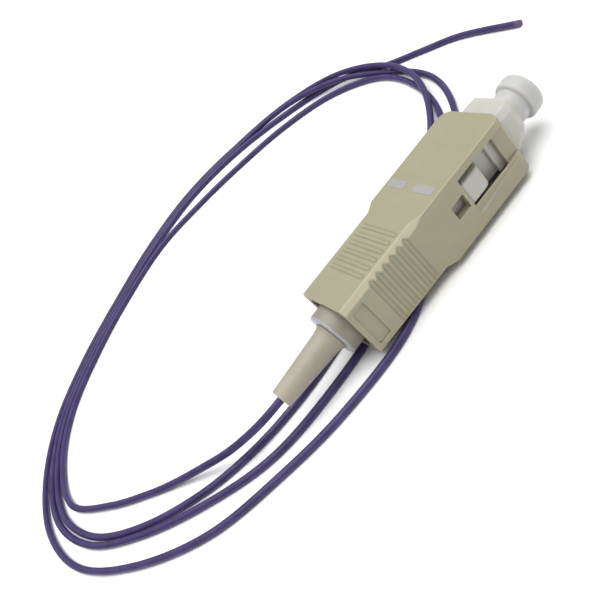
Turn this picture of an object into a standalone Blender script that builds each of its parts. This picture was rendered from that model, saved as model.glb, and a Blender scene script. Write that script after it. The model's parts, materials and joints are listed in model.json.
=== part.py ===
"""Fibre optic pigtail: a square push-pull connector with its dust cap, on loose turns of buffered fibre.

The connector lies along X with its ferrule towards +X and its polarising key underneath. The origin is
the bottom centre of the connector's own box, on the surface that the key and the fibre both lie on.
Sizes below are in metres. Places along the connector are counted from the rear end of the outer housing.
"""

import math

import bmesh
import bpy
from mathutils import Vector

MM = 0.001

# Outer housing
HOUSING_LENGTH = 25.9 * MM
HOUSING_WIDTH = 9.0 * MM
HOUSING_HEIGHT = 7.4 * MM
HOUSING_EDGE = 0.18 * MM
FRONT_CORNER_RADIUS = 1.4 * MM
FRONT_CORNER_STEPS = 5
GRIP_LENGTH = 11.3 * MM
GRIP_SLOPE_LENGTH = 1.4 * MM
GRIP_SIDE_INSET = 0.26 * MM
GRIP_FACE_INSET = 0.05 * MM
GRIP_CHAMFER_WIDTH = 0.64 * MM
GRIP_CHAMFER_DROP = 0.53 * MM
KEY_WIDTH = 2.2 * MM
KEY_HEIGHT = 1.0 * MM
KEY_LENGTH = 8.0 * MM
KEY_FRONT_SETBACK = 0.4 * MM

# Grip grooves and the bare recessed panel behind them
GROOVE_COUNT = 6
GROOVE_FIRST = 4.3 * MM
GROOVE_PITCH = 1.08 * MM
GROOVE_WIDTH = 0.5 * MM
GROOVE_DEPTH = 0.2 * MM
GROOVE_END_MARGIN = 0.25 * MM
PANEL_START = 0.6 * MM
PANEL_LENGTH = 1.65 * MM
PANEL_HEIGHT = 5.1 * MM
PANEL_DEPTH = 0.15 * MM

# Latch windows in both side walls, with heights counted from the housing's underside
BRIDGE_LENGTH = 2.1 * MM
WINDOW_LENGTH = 6.0 * MM
WINDOW_LOW = 2.5 * MM
WINDOW_HIGH = 6.45 * MM
BRIDGE_RECESS = 0.55 * MM
WINDOW_WEB = 0.4 * MM
REAR_WINDOW_LENGTH = 1.95 * MM
REAR_WINDOW_LOW = 3.1 * MM
REAR_WINDOW_HIGH = 4.95 * MM
RAMP_HEIGHT = 1.05 * MM
RAMP_DEPTH = 0.4 * MM
RAMP_FRONT_HEIGHT = 0.1 * MM
RAMP_FRONT_DEPTH = 0.05 * MM
RAMP_SETBACK = 0.9 * MM

# Plug frame, the inner body that the housing slides on
PLUG_WIDTH = 6.6 * MM
PLUG_HEIGHT = 5.8 * MM
PLUG_TOP_CHAMFER = 0.7 * MM
PLUG_BOTTOM_CHAMFER = 1.1 * MM
PLUG_REACH = 2.8 * MM
NOSE_TAPER = 0.6 * MM
NOSE_TAPER_LENGTH = 0.9 * MM
PLUG_REAR = 2.1 * MM
NOSE_BORE_RADIUS = 2.35 * MM
NOSE_BORE_DEPTH = 5.2 * MM
WEB_LENGTH = 3.7 * MM
SPRING_BORE_RADIUS = 2.0 * MM
LATCH_RECESS_DEPTH = 0.6 * MM
SHOULDER_LENGTH = 0.9 * MM
LATCH_LENGTH = 2.8 * MM
LATCH_TOP_LENGTH = 1.8 * MM
LATCH_HEIGHT = 2.5 * MM
LATCH_REACH = 0.85 * MM

# Ferrule and its flange
FERRULE_RADIUS = 1.25 * MM
FERRULE_REACH = 1.5 * MM
FERRULE_TIP_CHAMFER = 0.25 * MM
FLANGE_RADIUS = 1.8 * MM
FLANGE_LENGTH = 3.0 * MM

# Rear collar, strain relief boot and dust cap
COLLAR_RADIUS = 2.9 * MM
COLLAR_REACH = 1.7 * MM
COLLAR_RIM = 0.2 * MM
SPIGOT_RADIUS = 1.9 * MM
SPIGOT_LENGTH = 5.0 * MM
BOOT_LENGTH = 8.1 * MM
BOOT_BASE_RADIUS = 1.65 * MM
BOOT_TIP_RADIUS = 1.2 * MM
CAP_STEM_RADIUS = 2.1 * MM
CAP_STEM_REACH = 2.0 * MM
CAP_STEM_INSERTION = 4.8 * MM
CAP_KNOB_RADIUS = 2.6 * MM
CAP_KNOB_LENGTH = 2.05 * MM
CAP_EDGE = 0.6 * MM
CAP_ROOM = 0.7 * MM

# Buffered fibre
FIBRE_RADIUS = 0.45 * MM
FIBRE_IN_BOOT = 3.7 * MM

# Clearances
SLIDE_CLEARANCE = 0.1 * MM
FERRULE_CLEARANCE = 0.04 * MM
REAR_CLEARANCE = 0.25 * MM
SEAT_GAP = 0.3 * MM
FIBRE_GAP = 0.3 * MM
FLOOR_GAP = 0.01 * MM
CUT = 1.0 * MM

ROUND_STEPS = 40
NAME = "fibre_optic_pigtail"

# Places worked out from the sizes above, counted from the housing's rear end
NOSE_FRONT = HOUSING_LENGTH + PLUG_REACH
FERRULE_TIP = NOSE_FRONT + FERRULE_REACH
KNOB_REAR = NOSE_FRONT + CAP_STEM_REACH
CAP_FRONT = KNOB_REAR + CAP_KNOB_LENGTH
BOOT_BASE = -COLLAR_REACH - SEAT_GAP
BOOT_TIP = BOOT_BASE - BOOT_LENGTH
REAR_X = -(CAP_FRONT + BOOT_TIP) / 2
AXIS_Z = KEY_HEIGHT + HOUSING_HEIGHT / 2
BRIDGE_START = HOUSING_LENGTH - BRIDGE_LENGTH
WINDOW_START = BRIDGE_START - WINDOW_LENGTH
REAR_WINDOW_END = WINDOW_START - WINDOW_WEB
GRIP_HALF_WIDTH = HOUSING_WIDTH / 2 - GRIP_SIDE_INSET
GRIP_HALF_HEIGHT = HOUSING_HEIGHT / 2 - GRIP_FACE_INSET
CAVITY_HALF_WIDTH = PLUG_WIDTH / 2 + SLIDE_CLEARANCE
CAVITY_HALF_HEIGHT = PLUG_HEIGHT / 2 + SLIDE_CLEARANCE
BORE_RADIUS = FERRULE_RADIUS + FERRULE_CLEARANCE
NOSE_BORE_REAR = NOSE_FRONT - NOSE_BORE_DEPTH
SPRING_BORE_FRONT = NOSE_BORE_REAR - WEB_LENGTH
SHOULDER_REAR = BRIDGE_START - SHOULDER_LENGTH
FIBRE_HOLE_RADIUS = FIBRE_RADIUS + FIBRE_GAP
LIE = FIBRE_RADIUS + FLOOR_GAP

# The fibre's loop, read off the photo in millimetres from the housing's rear end: each station gives the
# place of the outer line, and how far inside it the first, second, third and fourth turns lie.
# The first turn starts at the boot, and the fourth leaves the loop for the free end.
LOOP = [
    (-7.0, -4.1, (None, 3.8, 0, 7.4)),
    (-16.2, -2.3, (None, 3.0, 0, 6.2)),
    (-25.6, 1.0, (None, 4.1, 0, 5.9)),
    (-34.8, 8.4, (9.1, 3.7, 0, 4.8)),
    (-41.0, 17.4, (8.0, 2.8, 0, 3.9)),
    (-42.8, 28.4, (4.5, 1.7, 0, 2.8)),
    (-40.2, 39.6, (3.5, 1.4, 0, 2.4)),
    (-34.2, 49.5, (3.2, 1.1, 0, 2.1)),
    (-25.0, 57.1, (3.2, 1.1, 0, 2.1)),
    (-14.5, 62.7, (3.2, 1.1, 0, 2.1)),
    (-3.2, 67.3, (4.3, 1.1, 0, 2.1)),
    (8.6, 69.2, (7.4, 1.1, 0, 2.1)),
    (20.4, 66.4, (7.9, 1.0, 0, 2.2)),
    (30.6, 59.6, (6.2, 1.3, 0, 2.0)),
    (38.2, 50.2, (4.4, 2.1, 0.4, 0.8)),
    (41.2, 38.0, (2.8, 1.75, 1.15, None)),
    (38.7, 25.6, (2.3, 0, 1.8, None)),
    (32.6, 14.9, (2.0, 0, 3.3, None)),
    (23.6, 7.4, (2.2, 0, 4.4, None)),
    (13.8, 1.4, (3.2, 0, 6.6, None)),
    (4.2, -3.8, (4.6, 0, 8.6, None)),
]
TURNS = 4
# Where the second and third turns climb over the others, by (turn, station), with the height of their centre
OVER = {(1, 13): 1.41, (1, 14): 1.41, (2, 13): 1.1, (2, 14): 1.41, (2, 15): 1.41, (2, 16): 1.6, (2, 17): 1.05}
FREE_END = [(41.4, 38.2), (44.0, 32.6), (46.5, 26.8), (48.3, 15.9)]
# How the fibre leaves the boot and comes down to the floor, as (x, y, height above the floor) in millimetres
EXIT = [(-12.9, 0.75, 4.28), (-15.8, 2.85, 3.25), (-18.5, 5.35, 2.22), (-21.5, 8.3, 1.42), (-25.0, 11.65, 0.72)]


def clear_scene():
    for item in list(bpy.data.objects):
        bpy.data.objects.remove(item, do_unlink=True)


def new_collection(name):
    group = bpy.data.collections.new(name)
    bpy.context.scene.collection.children.link(group)
    return group


def plastic(name, colour, roughness, alpha=1.0):
    material = bpy.data.materials.new(name)
    material.use_nodes = True
    shader = material.node_tree.nodes["Principled BSDF"]
    shader.inputs["Base Color"].default_value = (*colour, 1.0)
    shader.inputs["Roughness"].default_value = roughness
    shader.inputs["Metallic"].default_value = 0.0
    shader.inputs["Alpha"].default_value = alpha
    return material


def metal(name, colour, roughness):
    material = plastic(name, colour, roughness)
    material.node_tree.nodes["Principled BSDF"].inputs["Metallic"].default_value = 1.0
    return material


def along(x):
    """A place along the connector, counted from the housing's rear end, in the object's frame."""
    return REAR_X + x


def place_mesh(name, mesh, group, material=None):
    item = bpy.data.objects.new(name, mesh)
    group.objects.link(item)
    if material is not None:
        mesh.materials.append(material)
    return item


def make_cutter(item):
    item.hide_render = True
    item.display_type = "WIRE"
    return item


def loft(name, sections, group, material=None):
    """A solid through sections, each a place along the connector and its outline as (y, z) points."""
    work = bmesh.new()
    rings = []
    for x, outline in sections:
        rings.append([work.verts.new((along(x), y, z)) for y, z in outline])
    count = len(rings[0])
    for rear, front in zip(rings, rings[1:]):
        for k in range(count):
            after = (k + 1) % count
            work.faces.new((rear[k], rear[after], front[after], front[k]))
    work.faces.new(rings[0])
    work.faces.new(rings[-1])
    bmesh.ops.recalc_face_normals(work, faces=work.faces)
    mesh = bpy.data.meshes.new(name)
    work.to_mesh(mesh)
    work.free()
    return place_mesh(name, mesh, group, material)


def chamfered_outline(half_width, half_height, across, down):
    """A rectangle about the connector's axis with its four corners cut off."""
    y, z = half_width, half_height
    corner = [(y - across, z), (y, z - down)]
    right = corner + [(py, -pz) for py, pz in reversed(corner)]
    left = [(-py, -pz) for py, pz in right]
    return [(py, AXIS_Z + pz) for py, pz in right + left]


def box(name, x_range, y_range, z_range, group):
    """A plain block between the given limits, with x counted from the housing's rear end."""
    low = Vector((along(x_range[0]), y_range[0], z_range[0]))
    high = Vector((along(x_range[1]), y_range[1], z_range[1]))
    work = bmesh.new()
    bmesh.ops.create_cube(work, size=1.0)
    bmesh.ops.scale(work, vec=high - low, verts=work.verts)
    bmesh.ops.translate(work, vec=(low + high) / 2, verts=work.verts)
    mesh = bpy.data.meshes.new(name)
    work.to_mesh(mesh)
    work.free()
    return place_mesh(name, mesh, group)


def turned(name, profile, group, material=None):
    """A solid turned about the connector's axis from (x, radius) points that run from rear to front."""
    mesh = bpy.data.meshes.new(name)
    points = [(radius, 0.0, x) for x, radius in reversed(profile)]
    on_axis = profile[0][1] == 0.0 and profile[-1][1] == 0.0
    edges = [(k, k + 1) for k in range(len(points) - 1)]
    if not on_axis:
        edges.append((len(points) - 1, 0))
    mesh.from_pydata(points, edges, [])
    item = place_mesh(name, mesh, group, material)
    item.location = (along(0.0), 0.0, AXIS_Z)
    item.rotation_euler = (0.0, math.pi / 2, 0.0)
    spin = item.modifiers.new("Turn", "SCREW")
    spin.axis = "Z"
    spin.steps = ROUND_STEPS
    spin.render_steps = ROUND_STEPS
    spin.use_merge_vertices = True
    spin.merge_threshold = 0.00001
    spin.use_smooth_shade = True
    return item


def rod(name, x_range, radius, group):
    """A plain round bar on the connector's axis, used as a cutter."""
    rear, front = x_range
    return turned(name, [(rear, 0.0), (rear, radius), (front, radius), (front, 0.0)], group)


def combine(item, other, operation, name):
    step = item.modifiers.new(name, "BOOLEAN")
    step.operation = operation
    step.solver = "EXACT"
    step.object = make_cutter(other)
    return step


def plug_outline(half_width, half_height, top_cut, bottom_cut):
    """The plug frame's eight-sided outline, with its lower corners cut off further than its upper ones."""
    y, z = half_width, half_height
    right = [(y - top_cut, z), (y, z - top_cut), (y, bottom_cut - z), (y - bottom_cut, -z)]
    left = [(-py, pz) for py, pz in reversed(right)]
    return [(py, AXIS_Z + pz) for py, pz in right + left]


def housing_sections():
    """The housing's outside from rear to front: grip, slope, front part and its round corners."""
    grip = chamfered_outline(GRIP_HALF_WIDTH, GRIP_HALF_HEIGHT, GRIP_CHAMFER_WIDTH, GRIP_CHAMFER_DROP)
    full = chamfered_outline(HOUSING_WIDTH / 2, HOUSING_HEIGHT / 2, HOUSING_EDGE, HOUSING_EDGE)
    arc_start = HOUSING_LENGTH - FRONT_CORNER_RADIUS
    sections = [(0.0, grip), (GRIP_LENGTH, grip), (GRIP_LENGTH + GRIP_SLOPE_LENGTH, full)]
    for k in range(FRONT_CORNER_STEPS + 1):
        turn = math.pi / 2 * k / FRONT_CORNER_STEPS
        half_width = HOUSING_WIDTH / 2 - FRONT_CORNER_RADIUS * (1 - math.cos(turn))
        outline = chamfered_outline(half_width, HOUSING_HEIGHT / 2, HOUSING_EDGE, HOUSING_EDGE)
        sections.append((arc_start + FRONT_CORNER_RADIUS * math.sin(turn), outline))
    return sections


def groove_cutter(group):
    """One mesh with a ring of four bars for each grip groove."""
    work = bmesh.new()
    side_reach = GRIP_HALF_HEIGHT - GRIP_CHAMFER_DROP
    face_reach = GRIP_HALF_WIDTH - GRIP_CHAMFER_WIDTH - GROOVE_END_MARGIN
    side_middle = GRIP_HALF_WIDTH - GROOVE_DEPTH + CUT / 2
    face_middle = GRIP_HALF_HEIGHT - GROOVE_DEPTH + CUT / 2
    bars = []
    for sign in (-1, 1):
        bars.append(((0.0, sign * side_middle, AXIS_Z), (GROOVE_WIDTH, CUT, 2 * side_reach)))
        bars.append(((0.0, 0.0, AXIS_Z + sign * face_middle), (GROOVE_WIDTH, 2 * face_reach, CUT)))
    for k in range(GROOVE_COUNT):
        x = along(GROOVE_FIRST + k * GROOVE_PITCH)
        for middle, size in bars:
            made = bmesh.ops.create_cube(work, size=1.0)
            bmesh.ops.scale(work, vec=size, verts=made["verts"])
            bmesh.ops.translate(work, vec=Vector(middle) + Vector((x, 0, 0)), verts=made["verts"])
    mesh = bpy.data.meshes.new("cut_grip_grooves")
    work.to_mesh(mesh)
    work.free()
    return place_mesh("cut_grip_grooves", mesh, group)


def ramp_cutter(side, group):
    """The slope along the top edge of the prong below each latch window, which dies out to the front."""
    outer = side * (HOUSING_WIDTH / 2 + CUT)
    face = side * HOUSING_WIDTH / 2
    edge = KEY_HEIGHT + WINDOW_LOW
    top = edge + CUT / 2
    rear = (WINDOW_START, RAMP_HEIGHT, RAMP_DEPTH)
    front = (HOUSING_LENGTH - RAMP_SETBACK, RAMP_FRONT_HEIGHT, RAMP_FRONT_DEPTH)
    sections = []
    for x, height, depth in (rear, front):
        low = edge - height
        inner = face - side * depth
        sections.append((x, [(outer, low), (outer, top), (inner, top), (inner, edge), (face, low)]))
    return loft("cut_prong_ramp_" + ("left" if side > 0 else "right"), sections, group)


def build_outer_housing(parts, cutters):
    beige = plastic("housing_plastic", (0.50, 0.47, 0.33), 0.5)
    shell = loft("outer_housing", housing_sections(), parts, beige)
    key_x = (HOUSING_LENGTH - KEY_FRONT_SETBACK - KEY_LENGTH, HOUSING_LENGTH - KEY_FRONT_SETBACK)
    key_z = (0.0, KEY_HEIGHT + (HOUSING_HEIGHT - PLUG_HEIGHT) / 4)
    combine(shell, box("add_key", key_x, (-KEY_WIDTH / 2, KEY_WIDTH / 2), key_z, cutters), "UNION", "Key")

    cavity = plug_outline(CAVITY_HALF_WIDTH, CAVITY_HALF_HEIGHT, PLUG_TOP_CHAMFER, PLUG_BOTTOM_CHAMFER)
    bar = loft("cut_cavity", [(-CUT, cavity), (HOUSING_LENGTH + CUT, cavity)], cutters)
    combine(shell, bar, "DIFFERENCE", "Cavity")
    rear_bore = rod("cut_rear_bore", (-CUT, PLUG_REAR + CUT), COLLAR_RADIUS + REAR_CLEARANCE, cutters)
    combine(shell, rear_bore, "DIFFERENCE", "Rear bore")

    low, high = KEY_HEIGHT + WINDOW_LOW, KEY_HEIGHT + WINDOW_HIGH
    rear_z = (KEY_HEIGHT + REAR_WINDOW_LOW, KEY_HEIGHT + REAR_WINDOW_HIGH)
    rear_x = (REAR_WINDOW_END - REAR_WINDOW_LENGTH, REAR_WINDOW_END)
    across = (-HOUSING_WIDTH / 2 - CUT, HOUSING_WIDTH / 2 + CUT)
    window = box("cut_windows", (WINDOW_START, BRIDGE_START), across, (low, high), cutters)
    combine(shell, window, "DIFFERENCE", "Windows")
    rear = box("cut_rear_windows", rear_x, across, rear_z, cutters)
    combine(shell, rear, "DIFFERENCE", "Rear windows")
    for side, word in ((-1, "right"), (1, "left")):
        depth = sorted((side * (HOUSING_WIDTH / 2 - BRIDGE_RECESS), side * (HOUSING_WIDTH / 2 + CUT)))
        recess_x = (WINDOW_START, HOUSING_LENGTH + CUT)
        recess = box("cut_bridge_recess_" + word, recess_x, depth, (low, high), cutters)
        combine(shell, recess, "DIFFERENCE", "Bridge recess " + word)
        combine(shell, ramp_cutter(side, cutters), "DIFFERENCE", "Prong ramp " + word)

    combine(shell, groove_cutter(cutters), "DIFFERENCE", "Grip grooves")
    panel_y = (-HOUSING_WIDTH / 2, -GRIP_HALF_WIDTH + PANEL_DEPTH)
    panel_z = (AXIS_Z - PANEL_HEIGHT / 2, AXIS_Z + PANEL_HEIGHT / 2)
    panel = box("cut_side_panel", (PANEL_START, PANEL_START + PANEL_LENGTH), panel_y, panel_z, cutters)
    combine(shell, panel, "DIFFERENCE", "Side panel")
    return shell


def latch_block(side, group):
    """The wedge on each side of the plug frame that an adapter's hooks snap over."""
    root = side * (PLUG_WIDTH / 2 - LATCH_RECESS_DEPTH - SLIDE_CLEARANCE)
    top = side * (PLUG_WIDTH / 2 + LATCH_REACH)
    rear = WINDOW_START + SLIDE_CLEARANCE
    low = KEY_HEIGHT + WINDOW_LOW + SLIDE_CLEARANCE
    high = low + LATCH_HEIGHT
    foot = side * (PLUG_WIDTH / 2 - LATCH_RECESS_DEPTH + SLIDE_CLEARANCE)
    full = [(root, low), (root, high), (top, high), (top, low)]
    slim = [(root, low), (root, high), (foot, high), (foot, low)]
    sections = [(rear, full), (rear + LATCH_TOP_LENGTH, full), (rear + LATCH_LENGTH, slim)]
    return loft("add_latch_" + ("left" if side > 0 else "right"), sections, group)


def build_plug_frame(parts, cutters):
    top_cut, bottom_cut = PLUG_TOP_CHAMFER, PLUG_BOTTOM_CHAMFER
    outline = plug_outline(PLUG_WIDTH / 2, PLUG_HEIGHT / 2, top_cut, bottom_cut)
    front_width = PLUG_WIDTH / 2 - NOSE_TAPER
    narrow = plug_outline(front_width, PLUG_HEIGHT / 2, top_cut - NOSE_TAPER, bottom_cut - NOSE_TAPER)
    sections = [(PLUG_REAR, outline), (NOSE_FRONT - NOSE_TAPER_LENGTH, outline), (NOSE_FRONT, narrow)]
    white = plastic("frame_plastic", (0.72, 0.73, 0.70), 0.45)
    frame = loft("plug_frame", sections, parts, white)
    recess_x = (WINDOW_START + SLIDE_CLEARANCE + LATCH_TOP_LENGTH, SHOULDER_REAR)
    tall = (AXIS_Z - PLUG_HEIGHT, AXIS_Z + PLUG_HEIGHT)
    for side, word in ((-1, "right"), (1, "left")):
        depth = sorted((side * (PLUG_WIDTH / 2 - LATCH_RECESS_DEPTH), side * (PLUG_WIDTH / 2 + CUT)))
        recess = box("cut_latch_recess_" + word, recess_x, depth, tall, cutters)
        combine(frame, recess, "DIFFERENCE", "Latch recess " + word)
        combine(frame, latch_block(side, cutters), "UNION", "Latch " + word)
    nose = rod("cut_nose_bore", (NOSE_BORE_REAR, NOSE_FRONT + CUT), NOSE_BORE_RADIUS, cutters)
    combine(frame, nose, "DIFFERENCE", "Nose bore")
    spring = rod("cut_spring_bore", (PLUG_REAR - CUT, SPRING_BORE_FRONT), SPRING_BORE_RADIUS, cutters)
    combine(frame, spring, "DIFFERENCE", "Spring bore")
    guide = rod("cut_ferrule_guide", (SPRING_BORE_FRONT - CUT, NOSE_BORE_REAR + CUT), BORE_RADIUS, cutters)
    combine(frame, guide, "DIFFERENCE", "Ferrule guide")
    return frame


def build_ferrule(parts):
    flange_front = SPRING_BORE_FRONT - SEAT_GAP
    flange_rear = flange_front - FLANGE_LENGTH
    ceramic = plastic("ferrule_ceramic", (0.80, 0.80, 0.78), 0.2)
    profile = [
        (flange_rear, 0.0),
        (flange_rear, FERRULE_RADIUS),
        (FERRULE_TIP - FERRULE_TIP_CHAMFER, FERRULE_RADIUS),
        (FERRULE_TIP, FERRULE_RADIUS - FERRULE_TIP_CHAMFER),
        (FERRULE_TIP, 0.0),
    ]
    turned("ferrule", profile, parts, ceramic)
    ring = [
        (flange_rear, BORE_RADIUS),
        (flange_rear, FLANGE_RADIUS),
        (flange_front, FLANGE_RADIUS),
        (flange_front, BORE_RADIUS),
    ]
    turned("ferrule_flange", ring, parts, metal("flange_steel", (0.60, 0.60, 0.58), 0.35))


def build_rear_collar(parts):
    front = PLUG_REAR - SEAT_GAP
    hole = FIBRE_HOLE_RADIUS
    profile = [
        (-COLLAR_REACH, hole),
        (-COLLAR_REACH, COLLAR_RADIUS - COLLAR_RIM),
        (-COLLAR_REACH + COLLAR_RIM, COLLAR_RADIUS),
        (front, COLLAR_RADIUS),
        (front, SPIGOT_RADIUS),
        (front + SPIGOT_LENGTH, SPIGOT_RADIUS),
        (front + SPIGOT_LENGTH, hole),
    ]
    turned("rear_collar", profile, parts, plastic("collar_plastic", (0.62, 0.61, 0.56), 0.45))


def build_boot(parts):
    hole = FIBRE_HOLE_RADIUS
    profile = [
        (BOOT_TIP, hole),
        (BOOT_TIP, BOOT_TIP_RADIUS),
        (BOOT_BASE, BOOT_BASE_RADIUS),
        (BOOT_BASE, hole),
    ]
    turned("strain_relief_boot", profile, parts, plastic("boot_plastic", (0.52, 0.48, 0.38), 0.55))


def build_dust_cap(parts):
    rear = NOSE_FRONT - CAP_STEM_INSERTION
    bore_end = FERRULE_TIP + CAP_ROOM
    arc = CAP_EDGE * (1 - math.sqrt(0.5))
    profile = [
        (bore_end, 0.0),
        (bore_end, BORE_RADIUS),
        (rear, BORE_RADIUS),
        (rear, CAP_STEM_RADIUS),
        (KNOB_REAR, CAP_STEM_RADIUS),
        (KNOB_REAR, CAP_KNOB_RADIUS - CAP_EDGE),
        (KNOB_REAR + arc, CAP_KNOB_RADIUS - arc),
        (KNOB_REAR + CAP_EDGE, CAP_KNOB_RADIUS),
        (CAP_FRONT - CAP_EDGE, CAP_KNOB_RADIUS),
        (CAP_FRONT - arc, CAP_KNOB_RADIUS - arc),
        (CAP_FRONT, CAP_KNOB_RADIUS - CAP_EDGE),
        (CAP_FRONT, 0.0),
    ]
    turned("dust_cap", profile, parts, plastic("cap_plastic", (0.78, 0.78, 0.77), 0.3, alpha=0.8))


def loop_point(station, turn):
    """Where one turn of the fibre passes a station of the loop, on the floor."""
    x, y, inside = LOOP[station]
    before = Vector(LOOP[station - 1][:2])
    after = Vector(LOOP[(station + 1) % len(LOOP)][:2])
    heading = (after - before).normalized()
    inward = Vector((heading.y, -heading.x))
    return Vector((x, y)) + inward * inside[turn]


def fibre_route():
    """The fibre from inside the boot, round the loop and out to the free end."""
    route = [Vector((along(BOOT_TIP + inward), 0.0, AXIS_Z)) for inward in (FIBRE_IN_BOOT, 0.0)]
    for x, y, height in EXIT:
        route.append(Vector((along(x * MM), y * MM, height * MM)))
    for turn in range(TURNS):
        for station, (_, _, inside) in enumerate(LOOP):
            if inside[turn] is None:
                continue
            place = loop_point(station, turn) * MM
            height = OVER[turn, station] * MM if (turn, station) in OVER else LIE
            route.append(Vector((along(place.x), place.y, height)))
    for x, y in FREE_END:
        route.append(Vector((along(x * MM), y * MM, LIE)))
    return route


def build_fibre(parts):
    curve = bpy.data.curves.new("buffered_fibre", "CURVE")
    curve.dimensions = "3D"
    curve.bevel_depth = FIBRE_RADIUS
    curve.bevel_resolution = 2
    curve.use_fill_caps = True
    curve.materials.append(plastic("fibre_buffer", (0.13, 0.10, 0.25), 0.4))
    route = fibre_route()
    spline = curve.splines.new("POLY")
    spline.points.add(len(route) - 1)
    for point, place in zip(spline.points, route):
        point.co = (*place, 1.0)
    item = bpy.data.objects.new("buffered_fibre", curve)
    parts.objects.link(item)
    return item


def main():
    clear_scene()
    parts = new_collection(NAME)
    cutters = new_collection("cutters")
    build_outer_housing(parts, cutters)
    build_plug_frame(parts, cutters)
    build_ferrule(parts)
    build_rear_collar(parts)
    build_boot(parts)
    build_dust_cap(parts)
    build_fibre(parts)


main()
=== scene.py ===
# %% [markdown]
# # A fibre optic pigtail
#
# The part is a small square connector with a dust cap, and about 0.87 m of violet buffered fibre
# that lies in loose turns and ends in a bare cut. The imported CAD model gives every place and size.
# This notebook dresses it: each visible piece is modelled again with soft moulded edges, gets its
# own procedural finish, and is photographed on a pale floor.

# %% Load the frame
import json
import math

import bmesh
import bpy
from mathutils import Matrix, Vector

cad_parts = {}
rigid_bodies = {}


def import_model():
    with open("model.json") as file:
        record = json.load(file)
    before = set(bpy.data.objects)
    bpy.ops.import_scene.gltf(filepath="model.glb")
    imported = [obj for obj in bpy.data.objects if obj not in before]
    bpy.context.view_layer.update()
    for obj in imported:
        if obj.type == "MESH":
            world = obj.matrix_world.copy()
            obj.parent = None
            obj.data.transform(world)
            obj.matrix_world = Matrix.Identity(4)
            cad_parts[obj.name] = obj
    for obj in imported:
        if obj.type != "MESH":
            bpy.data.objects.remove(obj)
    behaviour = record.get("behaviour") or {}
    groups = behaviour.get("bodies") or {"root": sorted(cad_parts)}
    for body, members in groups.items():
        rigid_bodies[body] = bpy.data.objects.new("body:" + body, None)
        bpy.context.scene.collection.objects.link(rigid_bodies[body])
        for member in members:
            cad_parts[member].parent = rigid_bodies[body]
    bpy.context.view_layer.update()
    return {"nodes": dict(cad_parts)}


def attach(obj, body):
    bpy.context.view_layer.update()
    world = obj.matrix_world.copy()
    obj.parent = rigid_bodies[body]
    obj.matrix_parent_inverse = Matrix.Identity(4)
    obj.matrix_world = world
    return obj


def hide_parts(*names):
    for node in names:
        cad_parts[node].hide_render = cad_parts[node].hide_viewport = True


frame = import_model()
print("nodes:", sorted(frame["nodes"]))

# %% [markdown]
# ## Units and places
#
# The connector lies along X. Distances along it are counted in millimetres from the rear end of
# its outer housing, as the CAD does, so one helper turns such a place into the model's frame.

# %% Shorthand for places
MM = 0.001
REAR_X = -11.325
AXIS_Z = 4.7
CLOSE = 0.01 * MM


def place(x, y, z):
    """A point in metres from millimetres, with x counted from the housing's rear end."""
    return Vector(((REAR_X + x) * MM, y * MM, z * MM))


print("housing rear end:", tuple(round(c, 4) for c in place(0, 0, AXIS_Z)))

# %% [markdown]
# ## Camera
#
# The photograph looks down at about 32 degrees with the camera rolled, so the connector runs up
# to the right. The lens and the place come from matching the housing's corners in the picture.
# The object is only a few centimetres away, so the near clipping distance has to be small.

# %% Set the camera
CAMERA_PLACE = (-0.021162, -0.062643, 0.049953)
CAMERA_TURN = (47.378, 38.505, -37.680)
LENS = 44.76
SENSOR_WIDTH = 36.0
NEAREST, FARTHEST = 0.001, 20.0

camera_data = bpy.data.cameras.new("camera")
camera_data.lens = LENS
camera_data.sensor_width = SENSOR_WIDTH
camera_data.clip_start = NEAREST
camera_data.clip_end = FARTHEST
camera = bpy.data.objects.new("camera", camera_data)
camera.location = CAMERA_PLACE
camera.rotation_euler = [math.radians(angle) for angle in CAMERA_TURN]
bpy.context.scene.collection.objects.link(camera)
bpy.context.scene.camera = camera
print("camera at", CAMERA_PLACE)

# %% [markdown]
# ## The fibre's route
#
# A 0.9 mm buffered fibre is springy, so it lies in wide smooth turns, each a little outside the
# last. The route is given by stations round the loop: a point on the outer line, and how far
# inside it each of the four turns passes, or None where a turn doesn't pass. The strand leaves the
# boot straight, comes down to the floor, makes its turns, and runs off to the free end. At the far
# right the turns cross: one climbs over its neighbours, and the last passes beneath them on its way
# out, so a few stations have a height of their own. Everywhere else the strand's middle is at the
# height where it lies on the floor.

# %% List the stations
FIBRE_RADIUS = 0.45
LIE = 0.46
BOOT_TIP = -10.1
FIBRE_IN_BOOT = 3.7
LOOP = [
    (-7.0, -4.1, (None, 3.8, 0, 7.4)),
    (-16.2, -2.3, (None, 3.0, 0, 6.2)),
    (-25.6, 1.0, (None, 4.1, 0, 5.9)),
    (-34.8, 8.4, (9.1, 3.7, 0, 4.8)),
    (-41.0, 17.4, (8.0, 2.8, 0, 3.9)),
    (-42.8, 28.4, (4.5, 1.7, 0, 2.8)),
    (-40.2, 39.6, (3.5, 1.4, 0, 2.4)),
    (-34.2, 49.5, (3.2, 1.1, 0, 2.1)),
    (-25.0, 57.1, (3.2, 1.1, 0, 2.1)),
    (-14.5, 62.7, (3.2, 1.1, 0, 2.1)),
    (-3.2, 67.3, (4.3, 1.1, 0, 2.1)),
    (8.6, 69.2, (7.4, 1.1, 0, 2.1)),
    (20.4, 66.4, (7.9, 1.0, 0, 2.2)),
    (30.6, 59.6, (6.2, 1.3, 0, 2.0)),
    (38.2, 50.2, (4.4, 2.1, 0.4, 0.8)),
    (41.2, 38.0, (2.8, 1.75, 1.15, None)),
    (38.7, 25.6, (2.3, 0, 1.8, None)),
    (32.6, 14.9, (2.0, 0, 3.3, None)),
    (23.6, 7.4, (2.2, 0, 4.4, None)),
    (13.8, 1.4, (3.2, 0, 6.6, None)),
    (4.2, -3.8, (4.6, 0, 8.6, None)),
]
TURNS = 4
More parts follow.
